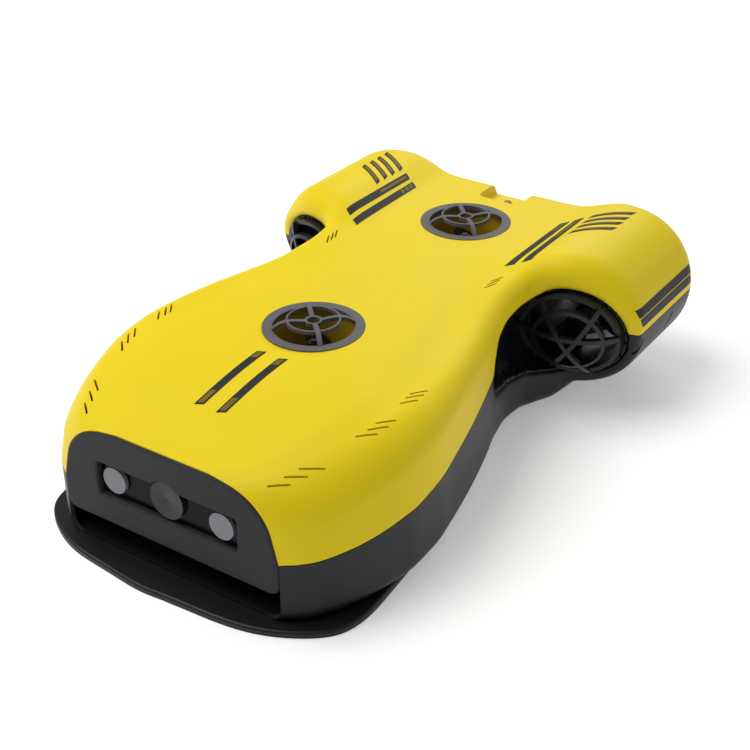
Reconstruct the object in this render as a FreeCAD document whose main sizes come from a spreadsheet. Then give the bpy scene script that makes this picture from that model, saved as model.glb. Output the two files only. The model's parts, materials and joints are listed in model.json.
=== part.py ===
"""Compact underwater camera drone with two lift fans and two thrust pods.

Frame: millimetres, +Z up, nose towards -Y, origin on the floor under the middle
of the bounding box.  Every length is driven by the "dimensions" sheet.
"""
import FreeCAD, Part
import Sketcher
import math
import os

from FreeCAD import Placement, Rotation, Vector

DIMENSIONS = {
    # hull
    "bezel_y": -199, "tail_y": 203, "deck_height": 102,
    "hull_bottom": 4, "wall": 3, "deck_edge_radius": 20, "bottom_edge_radius": 8,
    "seam_nose_height": 43.5, "seam_pod_height": 66, "seam_pod_y": 41.5,
    # thrust pods
    "pod_x": 97, "pod_height": 66, "pod_radius": 50.5, "pod_tail_y": 213, "pod_tail_radius": 26,
    "pod_lip_x": 102, "pod_lip_y": 83.8, "pod_lip_sweep": 0.277, "pod_lip_rake": 0.271,
    "duct_x": 104, "duct_height": 61, "duct_bore": 33, "duct_wall": 2,
    "duct_front_y": 31.5, "hood_y": 84, "hood_height": 98, "duct_tail_y": 213,
    "guard_mouth_y": 91, "guard_rise": 11, "guard_rim_depth": 8, "guard_turn": 15,
    "guard_ring_radius": 25, "guard_ring_width": 2.4, "guard_bar_width": 3.2,
    "guard_bar_offset": 3.5, "guard_shell": 3,
    "thrust_prop_y": 130, "thrust_prop_radius": 31, "thrust_hub_radius": 11, "thrust_hub_length": 14,
    "thrust_motor_radius": 14, "thrust_motor_length": 38, "outlet_guard_y": 206,
    # lift fans
    "front_fan_y": -56, "rear_fan_y": 127.2, "fan_ring_radius": 32, "fan_ring_bore": 25.6,
    "fan_ring_thickness": 3, "fan_duct_bore": 28, "fan_duct_wall": 2, "fan_dome_rise": 5,
    "fan_spoke_width": 3, "fan_mid_radius": 16.5, "fan_hub_radius": 5.6,
    "lift_prop_drop": 22, "lift_prop_radius": 26, "lift_hub_radius": 7, "lift_hub_length": 9,
    "lift_motor_radius": 12, "lift_motor_length": 30, "shaft_radius": 2, "shaft_clearance": 0.05,
    "shaft_tip": 6, "shaft_seat": 12, "blade_thickness": 1.8, "blade_pitch": 24,
    "can_edge_radius": 3, "strut_width": 3, "strut_depth": 12, "strut_drop": 6,
    "nut_across": 7, "nut_thickness": 3.5,
    # face
    "bezel_half_width": 74, "bezel_corner_radius": 10, "bezel_depth": 8, "bezel_low": 21, "bezel_high": 84,
    "window_half_width": 51, "window_low": 41, "window_high": 63, "window_recess": 4,
    "window_thickness": 3, "seal_thickness": 1.5, "carrier_thickness": 2.5,
    "lamp_x": 39.3, "lamp_height": 53, "lamp_radius": 8.5,
    "camera_height": 54.5, "camera_radius": 14, "lens_radius": 7, "lens_stand": 2.5,
    # skid plate
    "skid_thickness": 4, "skid_edge_radius": 1.5,
    # dry bay, battery
    "box_width": 110, "box_length": 62, "box_height": 46, "box_y": -140.5, "box_floor": 22,
    "battery_radius": 29, "battery_length": 104, "battery_y": 34.5, "battery_height": 52,
    "tube_wall": 3, "cap_thickness": 6, "cell_radius": 10.8, "cell_length": 65,
    # tail notch and socket
    "notch_half_width": 16.2, "notch_depth": 9, "notch_length": 30,
    "notch_screw_inset": 14, "notch_screw_head": 1.6, "notch_edge_radius": 1.5,
    "socket_radius": 9, "socket_length": 20, "socket_height": 48, "socket_bore": 6.5,
    "socket_bore_depth": 10, "socket_cable_hole": 3,
    # ballast
    "ballast_x": 78, "ballast_y": -90, "ballast_width": 22, "ballast_length": 60, "ballast_height": 10,
    # trim and fasteners
    "inlay_depth": 0.5, "slit_width": 2, "slit_length": 11,
    "screw_radius": 1.5, "screw_head_radius": 2.8, "screw_head_length": 2, "screw_head_inset": 0.4,
    "screw_length": 7,
}

doc = FreeCAD.newDocument("camera_drone")
sheet = doc.addObject("Spreadsheet::Sheet", "dimensions")
for row, (alias, number) in enumerate(DIMENSIONS.items(), start=1):
    sheet.set(f"A{row}", alias)
    sheet.set(f"B{row}", str(number))
    sheet.setAlias(f"B{row}", alias)
doc.recompute()

subparts = []


def val(alias):
    """A driving dimension, read back from the sheet."""
    return float(getattr(sheet, alias))


def keep(thing, label):
    """Name a finished sub-part, so that it is written out."""
    thing.Label = label
    subparts.append(thing)
    return thing


def along_y(x, y, z):
    """A placement whose own Z axis points along +Y."""
    return Placement(Vector(x, y, z), Rotation(Vector(1, 0, 0), -90))


def upright(x, y, z):
    return Placement(Vector(x, y, z), Rotation())


def bind(thing, **expressions):
    """Bind properties of an object to cells of the sheet."""
    for name, expression in expressions.items():
        words = expression.split()
        text = " ".join(f"dimensions.{word}" if word in DIMENSIONS else word for word in words)
        thing.setExpression(name, text)


def primitive(kind, name, place, **expressions):
    """A Part primitive with its sizes bound to the sheet."""
    thing = doc.addObject(kind, name)
    bind(thing, **expressions)
    thing.Placement = place
    return thing


def feature(label, shape, place=None):
    """A sub-part whose shape needs surfaces that the primitives do not have."""
    thing = doc.addObject("Part::Feature", label)
    thing.Shape = shape
    if place is not None:
        thing.Placement = place
    return keep(thing, label)


def origin_plane(body, role):
    return [item for item in body.Origin.OriginFeatures if item.Role == role][0]


def profile_sketch(body, role, corners):
    """A closed polygon sketch whose corners are held by sheet expressions."""
    sketch = body.newObject("Sketcher::SketchObject", body.Name + "_profile")
    sketch.AttachmentSupport = [(origin_plane(body, role), "")]
    sketch.MapMode = "FlatFace"
    numbers = [[eval_cell(text) for text in corner] for corner in corners]
    count = len(corners)
    for index, (across, up) in enumerate(numbers):
        next_across, next_up = numbers[(index + 1) % count]
        sketch.addGeometry(Part.LineSegment(Vector(across, up, 0), Vector(next_across, next_up, 0)), False)
    for index in range(count):
        sketch.addConstraint(Sketcher.Constraint("Coincident", index, 2, (index + 1) % count, 1))
    for index, corner in enumerate(corners):
        for kind, number, text in zip(("DistanceX", "DistanceY"), numbers[index], corner):
            place = sketch.addConstraint(Sketcher.Constraint(kind, index, 1, number))
            if text != "0":
                bind(sketch, **{f"Constraints[{place}]": text})
    return sketch


def eval_cell(text):
    """The number that a short sheet expression stands for."""
    total, sign = 0.0, 1
    for word in text.split():
        if word in "+-":
            sign = 1 if word == "+" else -1
        else:
            total += sign * (val(word) if word in DIMENSIONS else float(word))
    return total


def turned_body(label, corners, place):
    """A PartDesign body turned about its own Z axis from a half profile (radius, height)."""
    body = doc.addObject("PartDesign::Body", label + "_body")
    sketch = profile_sketch(body, "XZ_Plane", corners)
    turn = body.newObject("PartDesign::Revolution", label + "_turn")
    turn.Profile = sketch
    turn.ReferenceAxis = (sketch, ["V_Axis"])
    turn.Angle = 360
    body.Tip = turn
    body.Placement = place
    return keep(body, label)


def ring(outer, inner, thickness):
    """A flat ring, base at zero, axis +Z."""
    return Part.makeCylinder(outer, thickness).cut(Part.makeCylinder(inner, thickness))


def fuse_all(shapes):
    first, *rest = shapes
    return first.multiFuse(rest).removeSplitter() if rest else first


def mirrored(shape):
    return shape.mirror(Vector(0, 0, 0), Vector(1, 0, 0))


# ---------------------------------------------------------------- hull form
# Half outline of the body in plan: (half width, distance along Y), nose to tail.
BODY_OUTLINE = [
    (78, -199), (88, -192), (96, -184), (105, -168), (111, -152), (115, -134.5), (117, -118),
    (116, -95), (111.5, -69), (103, -35), (93, 0), (85, 28), (81.5, 52), (85, 73.5),
    (95, 91.5), (100, 111.5), (100, 151.5), (100, 203),
]
HULL_STATIONS = 36
OUTLINE_RUN_ON = 4  # how far the outline runs on past both ends, so that the inset form is covered
# Height of the deck along the centre line: (distance along Y, height).
DECK_LINE = [(-228, 76), (-199, 86), (-156, 95.5), (-116, 100.4), (-76, 102), (0, 102.6),
             (127.2, 104.8), (230, 105)]


def station_reader(points):
    """A function that reads a smooth line of (value, distance along Y) pairs at any station."""
    curve = Part.BSplineCurve()
    curve.interpolate([Vector(value, along, 0) for value, along in points])

    def read(along):
        plane = Part.Plane(Vector(0, along, 0), Vector(0, 1, 0))
        return curve.intersect(plane)[0][0].X
    return read


def inward(points, inset):
    """Move an open line of points to its left-hand side by the inset."""
    moved = []
    for index, (across, along) in enumerate(points):
        before = points[max(index - 1, 0)]
        after = points[min(index + 1, len(points) - 1)]
        run = Vector(after[0] - before[0], after[1] - before[1], 0)
        run.normalize()
        moved.append((across - run.y * inset, along + run.x * inset))
    return moved


deck_at = station_reader([(height, along) for along, height in DECK_LINE])


def rounded_section(half, low, high, along, top_radius, bottom_radius):
    """A closed section across the hull with round upper and lower corners."""
    def corner(centre_x, centre_z, radius, start):
        spots = []
        for degrees in (start, start + 45, start + 90):
            turn = math.radians(degrees)
            spots.append(Vector(centre_x + radius * math.cos(turn), along,
                                centre_z + radius * math.sin(turn)))
        return Part.Arc(*spots).toShape()

    arcs = [
        corner(half - top_radius, high - top_radius, top_radius, 0),
        corner(-half + top_radius, high - top_radius, top_radius, 90),
        corner(-half + bottom_radius, low + bottom_radius, bottom_radius, 180),
        corner(half - bottom_radius, low + bottom_radius, bottom_radius, 270),
    ]
    edges = []
    for arc, following in zip(arcs, arcs[1:] + arcs[:1]):
        edges += [arc, Part.makeLine(arc.Vertexes[-1].Point, following.Vertexes[0].Point)]
    return Part.Wire(edges)


def body_form(inset):
    """The middle of the hull, lofted through evenly spaced rounded sections, bezel to tail."""
    outline = inward(BODY_OUTLINE, inset)
    (nose_half, nose), (tail_half, tail) = outline[0], outline[-1]
    outline = [(nose_half - OUTLINE_RUN_ON / 2, nose - OUTLINE_RUN_ON)] + outline
    outline.append((tail_half, tail + OUTLINE_RUN_ON))
    half_at = station_reader(outline)
    first, last = val("bezel_y") + inset, val("tail_y") - inset
    sections = []
    for step in range(HULL_STATIONS):
        along = first + (last - first) * step / (HULL_STATIONS - 1)
        sections.append(rounded_section(
            half_at(along), val("hull_bottom") + inset, deck_at(along) - inset, along,
            val("deck_edge_radius") - inset, val("bottom_edge_radius") - inset))
    return Part.makeLoft(sections, True, False)


def behind_lip(inset):
    """The half space behind the slanting front lip of the right pod."""
    sweep, rake = val("pod_lip_sweep"), val("pod_lip_rake")
    normal = Vector(-sweep, 1, rake)
    foot = Vector(val("pod_lip_x"), val("pod_lip_y"), val("deck_height")) + normal * (inset / normal.Length)
    size = 600
    space = Part.makeBox(size, size, size, Vector(-size / 2, -size / 2, 0))
    space.Placement = Placement(foot, Rotation(Vector(0, 0, 1), normal))
    return space


def pod_form(inset, lip):
    """The right pod, its tail rounded over and its front cut along the slanting lip."""
    radius = val("pod_radius") - inset
    start = val("seam_pod_y")
    length = val("pod_tail_y") - inset - start
    pod = Part.makeCylinder(radius, length)
    tail = [edge for edge in pod.Edges if edge.BoundBox.ZMin > length / 2 and edge.BoundBox.ZLength < 1]
    pod = pod.makeFillet(val("pod_tail_radius") - inset, tail)
    pod.Placement = along_y(val("pod_x"), start, val("pod_height"))
    return pod.common(behind_lip(lip))


def hull_form(inset, lip):
    body = body_form(inset)
    pod = pod_form(inset, lip)
    return body.multiFuse([pod, mirrored(pod)])


def seam_split():
    """The space above the seam between the two shells: it climbs from the nose to the pods."""
    wide = 400
    line = [Vector(-wide / 2, -300, val("seam_nose_height")),
            Vector(-wide / 2, val("bezel_y"), val("seam_nose_height")),
            Vector(-wide / 2, val("seam_pod_y"), val("seam_pod_height")),
            Vector(-wide / 2, 300, val("seam_pod_height")),
            Vector(-wide / 2, 300, 200), Vector(-wide / 2, -300, 200)]
    face = Part.Face(Part.makePolygon(line + line[:1]))
    return face.extrude(Vector(wide, 0, 0))


def slab(half_x, low, high):
    """A box centred on X = 0 from (y, z) low to (y, z) high."""
    return Part.makeBox(2 * half_x, high[0] - low[0], high[1] - low[1], Vector(-half_x, low[0], low[1]))


def round_slab(half_x, low, high, radius):
    """The same box with its four long edges along Y rounded."""
    solid = slab(half_x, low, high)
    long_edges = [edge for edge in solid.Edges
                  if edge.BoundBox.XLength < 1e-6 and edge.BoundBox.ZLength < 1e-6]
    return solid.makeFillet(radius, long_edges)


def post(radius, x, y, low, high):
    return Part.makeCylinder(radius, high - low, Vector(x, y, low))


def bore(radius, x, z, start, end):
    """A round bar along Y."""
    return Part.makeCylinder(radius, end - start, Vector(x, start, z), Vector(0, 1, 0))


# ---------------------------------------------------------------- trim outlines on the deck
# Corners in plan (x, y) of the right half; the left half is the mirror image.
NOSE_STRIPE = [(5.2, -98), (10.8, -101), (10.8, -156), (5.2, -153)]
POD_BARS = [[(74.6, 86.6), (68.7, 82.7), (69, 161.1), (73.7, 164.7)],
            [(65.1, 81.1), (59.5, 77.2), (60, 156.2), (65.1, 159.5)]]
# Four short bars, one behind the other, that lean outwards from the long ones.
CROSS_BARS = {"inner_x": 78.8, "outer_x": 103.5, "first_y": 132.2, "step": 10.2, "lean": 16.4, "width": 4.2}
# Bars on the outside of a pod: heights (low, high) and the ends along Y, which lean with the bar.
SIDE_BARS = [(77.5, 83.5), (70.5, 76)]
SIDE_BAR_START, SIDE_BAR_END, SIDE_BAR_LEAN = 105.5, 193, 2.5
# Groups of three slits: centre of the first, centre of the last, turn from the X axis in degrees.
SLIT_GROUPS = [((68.8, -186.3), (77.5, -168.5), 33), ((89.3, -133), (91.5, -119.5), 44),
               ((91.5, -100), (92, -88), 50), ((60, 44), (66, 60), 20)]
DECK_TOOL_HEIGHT = 200


def deck_bar(corners, side):
    """A tall prism over a four-cornered plan outline, on one side."""
    points = [Vector(side * x, y, 0) for x, y in corners]
    face = Part.Face(Part.makePolygon(points + points[:1]))
    return face.extrude(Vector(0, 0, DECK_TOOL_HEIGHT))


def pod_bars(side):
    """Two long bars and four short cross bars on one pod's deck."""
    inner, outer = CROSS_BARS["inner_x"], CROSS_BARS["outer_x"]
    bars = list(POD_BARS)
    for count in range(4):
        low = CROSS_BARS["first_y"] + CROSS_BARS["step"] * count
        high = low + CROSS_BARS["lean"]
        bars.append([(inner, low), (outer, high), (outer, high + CROSS_BARS["width"]),
                     (inner, low + CROSS_BARS["width"])])
    return [deck_bar(bar, side) for bar in bars]


def side_bars(side):
    """Two long bars along the outside of one pod, just over the seam."""
    start, end, lean = SIDE_BAR_START, SIDE_BAR_END, SIDE_BAR_LEAN
    shapes = []
    for low, high in SIDE_BARS:
        points = [Vector(0, start, high), Vector(0, start + lean, low),
                  Vector(0, end, low), Vector(0, end - lean, high)]
        face = Part.Face(Part.makePolygon(points + points[:1]))
        face.translate(Vector(side * (val("pod_x") + val("pod_radius") / 2), 0, 0))
        shapes.append(face.extrude(Vector(side * val("pod_radius"), 0, 0)))
    return shapes


def vent_slits():
    """Slots through the deck: three groups on each side of the nose, one group by each pod."""
    width, length = val("slit_width"), val("slit_length")
    shapes = []
    for side in (-1, 1):
        for first, last, lean in SLIT_GROUPS:
            for share in (0, 0.5, 1):
                x = first[0] + (last[0] - first[0]) * share
                y = first[1] + (last[1] - first[1]) * share
                slot = Part.makeBox(length, width, DECK_TOOL_HEIGHT, Vector(-length / 2, -width / 2, 0))
                slot.rotate(Vector(0, 0, 0), Vector(0, 0, 1), side * lean)
                slot.translate(Vector(side * x, y, val("seam_pod_height")))
                shapes.append(slot)
    return shapes


# ---------------------------------------------------------------- shells and trim
SCREW_PLACES = [(80, -150), (70, -30), (50, 60), (40, 140)]  # skid screws on the right, in plan
outer_form = hull_form(0, 0)
cavity_form = hull_form(val("wall"), val("wall"))
skin = outer_form.cut(hull_form(val("inlay_depth"), 0))
above_seam = seam_split()

fan_places = {"front": val("front_fan_y"), "rear": val("rear_fan_y")}
sides = {"left": -1, "right": 1}
duct_outer = val("duct_bore") + val("duct_wall")
fan_duct_outer = val("fan_duct_bore") + val("fan_duct_wall")
mid_height = val("deck_height") / 2

screw_places = [(side * x, y) for side in sides.values() for x, y in SCREW_PLACES]
openings = [round_slab(val("bezel_half_width"), (-230, val("bezel_low")), (-190, val("bezel_high")),
                       val("bezel_corner_radius"))]
for along in fan_places.values():
    openings.append(post(val("fan_ring_radius"), 0, along, mid_height, 200))
    openings.append(post(fan_duct_outer, 0, along, -5, mid_height))
under_hood = slab(200, (-300, -50), (val("hood_y"), val("hood_height")))
for side in sides.values():
    across, height = side * val("duct_x"), val("duct_height")
    openings.append(bore(duct_outer, across, height, val("hood_y"), 260))
    openings.append(bore(duct_outer, across, height, val("duct_front_y"), val("hood_y")).common(under_hood))
openings.append(bore(val("socket_radius"), 0, val("socket_height"), 150, 260))

notch_floor = deck_at(val("tail_y")) - val("notch_depth")
notch = round_slab(val("notch_half_width"), (val("tail_y") - val("notch_length"), notch_floor), (260, 200),
                   val("notch_edge_radius"))
notch_tub = slab(val("notch_half_width") + val("wall"),
                 (val("tail_y") - val("notch_length") - val("wall"), notch_floor - val("wall")),
                 (val("tail_y"), 200)).common(outer_form)
notch_screw_y = val("tail_y") - val("notch_screw_inset")
notch_screw_hole = post(val("screw_radius"), 0, notch_screw_y, notch_floor - 20, notch_floor + 1)

shell = outer_form.cut(cavity_form).fuse(notch_tub)
upper = shell.common(above_seam).cut(openings + [notch, notch_screw_hole] + vent_slits())
screw_holes = [post(val("screw_radius"), x, y, 0, 20) for x, y in screw_places]
lower = shell.cut(above_seam).cut(openings + screw_holes)

inlays = {
    "nose_stripes": [deck_bar(NOSE_STRIPE, -1), deck_bar(NOSE_STRIPE, 1)],
    "deck_stripes": pod_bars(-1) + pod_bars(1),
    "side_stripes": side_bars(-1) + side_bars(1),
}
for label, tools in inlays.items():
    pieces = [skin.common(tool).common(above_seam) for tool in tools]
    upper = upper.cut(pieces)
    feature(label, Part.makeCompound([solid for piece in pieces for solid in piece.Solids]))

feature("upper_shell", upper)
feature("lower_shell", lower)


# ---------------------------------------------------------------- skid plate
# Half outline of the skid plate: (half width, distance along Y), nose to tail.
SKID_OUTLINE = [(0, -217), (35, -214.8), (68, -210), (92, -199), (108, -184), (113, -164), (112, -140),
                (108, -100), (99, -50), (86, -5), (76, 40), (74, 80), (70, 130), (48, 160), (0, 172)]


def skid_shape():
    right = [Vector(x, y, 0) for x, y in SKID_OUTLINE]
    left = [Vector(-point.x, point.y, 0) for point in reversed(right[1:-1])]
    curve = Part.BSplineCurve()
    curve.interpolate(Points=right + left, PeriodicFlag=True)
    plate = Part.Face(Part.Wire(curve.toShape())).extrude(Vector(0, 0, val("skid_thickness")))
    top_edge = [edge for edge in plate.Edges if edge.BoundBox.ZMin > val("skid_thickness") - 0.01]
    plate = plate.makeFillet(val("skid_edge_radius"), top_edge)
    tools = [post(fan_duct_outer, 0, along, -1, 10) for along in fan_places.values()]
    tools += [post(val("screw_radius"), x, y, -1, 10) for x, y in screw_places]
    tools += [post(val("screw_head_radius"), x, y, -1, val("screw_head_length")) for x, y in screw_places]
    return plate.cut(tools)


feature("skid_plate", skid_shape())


def skid_screws():
    """Eight screws with their heads set into the plate, as separate solids."""
    low, neck = val("screw_head_inset"), val("screw_head_length")
    solids = []
    for x, y in screw_places:
        head = post(val("screw_head_radius"), x, y, low, neck)
        shank = post(val("screw_radius"), x, y, neck, low + val("screw_length"))
        solids.append(head.fuse(shank).removeSplitter())
    return Part.makeCompound(solids)


feature("skid_screws", skid_screws())


# ---------------------------------------------------------------- face: bezel, window, camera, lamps
WINDOW_CORNER, WINDOW_REBATE = 2, 8


def face_part(depth_start, depth_end, half, low, high, radius):
    return round_slab(half, (depth_start, low), (depth_end, high), radius)


def behind_window(start, end):
    """A layer of the window stack, wider all round than the opening in the bezel."""
    return face_part(start, end, window_half + WINDOW_REBATE, window_low - WINDOW_REBATE,
                     window_high + WINDOW_REBATE, WINDOW_CORNER + 1)


face_front = val("bezel_y")
pane_front = face_front + val("window_recess")
pane_back = pane_front + val("window_thickness")
window_low, window_high, window_half = val("window_low"), val("window_high"), val("window_half_width")

bezel = face_part(face_front, face_front + val("bezel_depth"), val("bezel_half_width"),
                  val("bezel_low"), val("bezel_high"), val("bezel_corner_radius"))
bezel = bezel.cut([
    face_part(face_front - 1, face_front + 20, window_half, window_low, window_high, WINDOW_CORNER),
    behind_window(pane_front, face_front + 20),
    bore(val("camera_radius") - 1.5, 0, val("camera_height"), face_front - 1, face_front + 20),
])
feature("front_bezel", bezel)

lamp_places = {word: Vector(side * val("lamp_x"), 0, val("lamp_height")) for word, side in sides.items()}
camera_height = val("camera_height")
pane = behind_window(pane_front, pane_back)
pane_holes = [bore(val("lamp_radius"), spot.x, spot.z, -220, -190) for spot in lamp_places.values()]
pane_holes.append(bore(val("camera_radius") - 2, 0, camera_height, -220, -190))
feature("window_panel", pane.cut(pane_holes))

seal = behind_window(pane_back, pane_back + val("seal_thickness"))
seal_hole = face_part(pane_back - 1, pane_back + 3, window_half, window_low, window_high, WINDOW_CORNER)
camera_hole = bore(val("camera_radius"), 0, camera_height, pane_back - 1, pane_back + 3)
feature("window_seal", seal.cut([seal_hole, camera_hole]))

seal_back = pane_back + val("seal_thickness")
carrier = behind_window(seal_back, seal_back + val("carrier_thickness"))
carrier_holes = [bore(val("lamp_radius") + 1, spot.x, spot.z, -220, -180) for spot in lamp_places.values()]
carrier_holes.append(bore(val("camera_radius"), 0, camera_height, -220, -180))
feature("lamp_carrier", carrier.cut(carrier_holes))

lens_front = pane_front - val("lens_stand")
for word, spot in lamp_places.items():
    lens = primitive("Part::Cylinder", f"lamp_lens_{word}_disc", along_y(spot.x, lens_front, spot.z),
                     Radius="lamp_radius", Height="window_thickness + lens_stand")
    keep(lens, f"lamp_lens_{word}")
    turned_body(f"lamp_reflector_{word}", [
        ("3", "0"), ("4", "0"), ("lamp_radius + 0.2", "7.9"), ("lamp_radius - 0.8", "7.9")],
        Placement(Vector(spot.x, pane_back + 8, spot.z), Rotation(Vector(1, 0, 0), 90)))

lamp_discs = [bore(val("lamp_radius"), spot.x, spot.z, pane_back + 8, pane_back + 9.6)
              for spot in lamp_places.values()]
feature("lamp_boards", Part.makeCompound(lamp_discs))

turned_body("camera_lens", [
    ("0", "1.2"), ("lens_radius", "0.4"), ("camera_radius - 2", "0"),
    ("camera_radius - 2", "window_thickness + lens_stand"), ("0", "window_thickness + lens_stand")],
    along_y(0, lens_front, camera_height))
turned_body("camera_barrel", [
    ("0", "0"), ("camera_radius - 2", "0"), ("camera_radius - 2", "10"), ("camera_radius - 3", "11"),
    ("0", "11")], along_y(0, pane_back, camera_height))
board_back, board_half = pane_back + 11, 12
feature("camera_board", slab(board_half, (board_back, camera_height - board_half),
                             (board_back + 1.6, camera_height + board_half)))


# ---------------------------------------------------------------- dry bay with its electronics
def dry_bay():
    """An open tray, its lid, its gasket and the main board inside."""
    half, length, height = val("box_width") / 2, val("box_length"), val("box_height")
    start, floor, wall = val("box_y") - length / 2, val("box_floor"), val("wall") - 0.5
    end = start + length
    tray = slab(half, (start, floor), (end, floor + height)).cut(
        slab(half - wall, (start + wall, floor + wall), (end - wall, floor + height + 1)))
    gasket = slab(half, (start, floor + height), (end, floor + height + 1.5)).cut(
        slab(half - wall, (start + wall, floor + height - 1), (end - wall, floor + height + 3)))
    lid = slab(half, (start, floor + height + 1.5), (end, floor + height + 4.5))
    board = slab(half - 6, (start + 6, floor + 12), (end - 6, floor + 13.6))
    spacers = [post(2.5, side * (half - 12), along, floor + wall, floor + 12)
               for side in (-1, 1) for along in (start + 12, end - 12)]
    feature("dry_bay_tray", fuse_all([tray] + spacers))
    feature("dry_bay_gasket", gasket)
    feature("dry_bay_lid", lid)
    feature("main_board", board)


dry_bay()


# ---------------------------------------------------------------- battery
def battery():
    radius, length = val("battery_radius"), val("battery_length")
    start, height = val("battery_y") - length / 2, val("battery_height")
    inner = radius - val("tube_wall")
    cap, lip = val("cap_thickness"), 8
    tube = primitive("Part::Cylinder", "battery_tube_outside", along_y(0, start, height),
                     Radius="battery_radius", Height="battery_length")
    hollow = primitive("Part::Cylinder", "battery_tube_inside", along_y(0, start, height),
                       Radius="battery_radius - tube_wall", Height="battery_length")
    shell_cut = doc.addObject("Part::Cut", "battery_tube_cut")
    shell_cut.Base, shell_cut.Tool = tube, hollow
    keep(shell_cut, "battery_tube")
    plug = [("0", "0"), ("battery_radius", "0"), ("battery_radius", "cap_thickness"),
            ("battery_radius - tube_wall", "cap_thickness"),
            ("battery_radius - tube_wall", "cap_thickness + 3"),
            ("battery_radius - tube_wall - 1.5", "cap_thickness + 3"),
            ("battery_radius - tube_wall - 1.5", "cap_thickness + 5"),
            ("battery_radius - tube_wall", "cap_thickness + 5"),
            ("battery_radius - tube_wall", "cap_thickness + 8"), ("0", "cap_thickness + 8")]
    turned_body("battery_cap_front", plug, along_y(0, start - cap, height))
    turned_body("battery_cap_rear", plug, Placement(Vector(0, start + length + cap, height),
                                                    Rotation(Vector(1, 0, 0), 90)))
    seals = []
    for along in (start + 3, start + length - 5):
        seal_core = bore(inner - 1.5, 0, height, along, along + 2)
        seals.append(bore(inner, 0, height, along, along + 2).cut(seal_core))
    feature("battery_seals", Part.makeCompound(seals))
    ring_radius = val("cell_radius") * 2 / math.sqrt(3) + 0.2  # three cells just clear of each other
    turns = [math.radians(90 + 120 * index) for index in range(3)]
    spots = [(ring_radius * math.cos(a), height + ring_radius * math.sin(a)) for a in turns]
    cell_start = start + lip + 12
    cells = [bore(val("cell_radius"), x, z, cell_start, cell_start + val("cell_length")) for x, z in spots]
    feature("battery_cells", Part.makeCompound(cells))
    holders = []
    for along in (cell_start, cell_start + val("cell_length") - 6):
        disc = bore(inner, 0, height, along, along + 6)
        holders.append(disc.cut([bore(val("cell_radius"), x, z, along - 1, along + 7) for x, z in spots]))
    feature("cell_holders", Part.makeCompound(holders))


battery()


# ---------------------------------------------------------------- guards
def dome_profile(outer, middle, rise, thickness):
    """Half section of a thin dome: flat rim outside, highest at the middle ring."""
    top = [Vector(0, 0, rise * 0.75), Vector(middle * 0.5, 0, rise * 0.9), Vector(middle, 0, rise),
           Vector((outer + middle) / 2, 0, rise * 0.75), Vector(outer, 0, 0)]
    curve = Part.BSplineCurve()
    curve.interpolate(top)
    drop = Vector(0, 0, -thickness)
    under = curve.toShape().translated(drop)
    sides = [Part.makeLine(top[0], top[0] + drop), Part.makeLine(top[-1], top[-1] + drop)]
    return Part.Face(Part.Wire(Part.__sortEdges__([curve.toShape(), under] + sides)))


def fan_guard(rim, rise):
    """Rim, middle ring, hub ring and four spokes over a lift fan; rim top at zero."""
    thick, bore_radius = val("fan_ring_thickness"), val("fan_ring_bore")
    rim_ring = ring(rim, bore_radius, thick)
    rim_ring.translate(Vector(0, 0, -thick))
    dome = dome_profile(bore_radius + 1, val("fan_mid_radius"), rise, 2.4).revolve(
        Vector(0, 0, 0), Vector(0, 0, 1), 360)
    width, tall = val("fan_spoke_width"), 60
    tools = [ring(val("fan_mid_radius") + 0.7, val("fan_mid_radius") - 0.7, tall),
             ring(val("fan_hub_radius"), val("fan_hub_radius") - 1.6, tall)]
    for tool in tools:
        tool.translate(Vector(0, 0, -tall / 2))
    for turn in range(4):
        spoke = Part.makeBox(60, width, tall, Vector(val("fan_hub_radius") - 1, -width / 2, -tall / 2))
        spoke.rotate(Vector(0, 0, 0), Vector(0, 0, 1), 45 + 90 * turn)
        tools.append(spoke)
    web = dome.common(tools[0].multiFuse(tools[1:]))
    return fuse_all([rim_ring, web])


def intake_guard():
    """Domed guard across the slanting mouth of the right duct, built in place.

    Three bars cross beside the centre, over a middle ring and a rim that lies in the duct.
    """
    sweep, rake = val("pod_lip_sweep"), val("pod_lip_rake")
    foot = Vector(val("duct_x"), val("guard_mouth_y"), val("duct_height"))
    mouth = Placement(foot, Rotation(Vector(0, 0, 1), Vector(sweep, -1, -rake)))
    bore_radius, shell, rise = val("duct_bore"), val("guard_shell"), val("guard_rise")
    reach = bore_radius * math.sqrt(1 + sweep ** 2 + rake ** 2)
    ball_radius = (reach ** 2 + rise ** 2) / (2 * rise)
    centre = Vector(0, 0, rise - ball_radius)
    dome = Part.makeSphere(ball_radius, centre).cut(Part.makeSphere(ball_radius - shell, centre))

    low, tall, width = -10, 40, val("guard_bar_width")
    middle = ring(val("guard_ring_radius"), val("guard_ring_radius") - val("guard_ring_width"), tall)
    middle.translate(Vector(0, 0, low))
    tools = [middle]
    for turn in range(3):
        bar = Part.makeBox(2 * reach, width, tall, Vector(-reach, val("guard_bar_offset") - width / 2, low))
        bar.rotate(Vector(0, 0, 0), Vector(0, 0, 1), val("guard_turn") + 120 * turn)
        tools.append(bar)
    web = dome.common(tools[0].multiFuse(tools[1:]))
    depth = val("guard_rim_depth")
    rim = Part.makeBox(2 * ball_radius, 2 * ball_radius, depth, Vector(-ball_radius, -ball_radius, -depth))
    web.Placement = rim.Placement = mouth

    inside = bore(bore_radius, foot.x, foot.z, foot.y - ball_radius, foot.y + ball_radius)
    core = bore(bore_radius - shell, foot.x, foot.z, foot.y - ball_radius, foot.y + ball_radius)
    return fuse_all([web.common(inside), rim.common(inside.cut(core))])


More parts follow.
